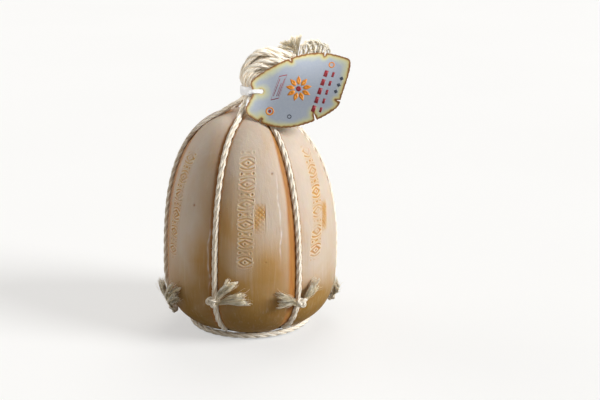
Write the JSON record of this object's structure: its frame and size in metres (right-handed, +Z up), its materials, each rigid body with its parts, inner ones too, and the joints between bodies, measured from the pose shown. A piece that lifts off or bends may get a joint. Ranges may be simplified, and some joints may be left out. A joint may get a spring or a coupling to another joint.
{
  "type": "provolone cheese",
  "caption": "Whole melon-shaped aged cheese standing upright, bound with natural cords gathered at a neck into a frayed hank, with a plastic seal and a burnt-edge card tag.",
  "frame": {"origin": "centre of the flat spot under the cheese, on the surface it stands on", "axes": "+Z up along the cheese to its tied neck, -Y the front, +X the side the hank and the tag lean to"},
  "size_m": [0.2, 0.1978, 0.3027],
  "materials": {
    "rind": "smooth waxy cheese rind, satin, tan-cream with orange-brown grooves and stamps",
    "cord": "matt three-strand natural fibre cord, cream white",
    "fray": "matt loose fibre ends, pale straw",
    "seal": "white slightly translucent moulded plastic",
    "tag": "smooth printed card, pale blue-grey with a yellow border and a burnt brown edge"
  },
  "bodies": {
    "root": {"cheese_body": "rind", "foot_ring": "cord", "whipping": "cord", "seal": "seal", "tag": "tag", "cord_1": "cord", "knot_1": "cord", "tail_1_1": "fray", "tail_1_2": "fray", "cord_2": "cord", "knot_2": "cord", "tail_2_1": "fray", "tail_2_2": "fray", "cord_3": "cord", "knot_3": "cord", "tail_3_1": "fray", "tail_3_2": "fray", "cord_4": "cord", "knot_4": "cord", "tail_4_1": "fray", "tail_4_2": "fray", "cord_5": "cord", "knot_5": "cord", "tail_5_1": "fray", "tail_5_2": "fray", "cord_6": "cord", "knot_6": "cord", "tail_6_1": "fray", "tail_6_2": "fray", "hank_strand_1": "cord", "hank_strand_2": "cord", "hank_strand_3": "cord", "hank_strand_4": "cord", "hank_strand_5": "cord", "hank_strand_6": "cord", "hank_strand_7": "cord", "hank_strand_8": "cord", "hank_strand_9": "cord", "brush_yarn_1": "fray", "brush_yarn_2": "fray", "brush_yarn_3": "fray", "brush_yarn_4": "fray", "brush_yarn_5": "fray", "curl_1": "fray", "curl_2": "fray", "curl_3": "fray", "curl_4": "fray"}
  },
  "joints": []
}
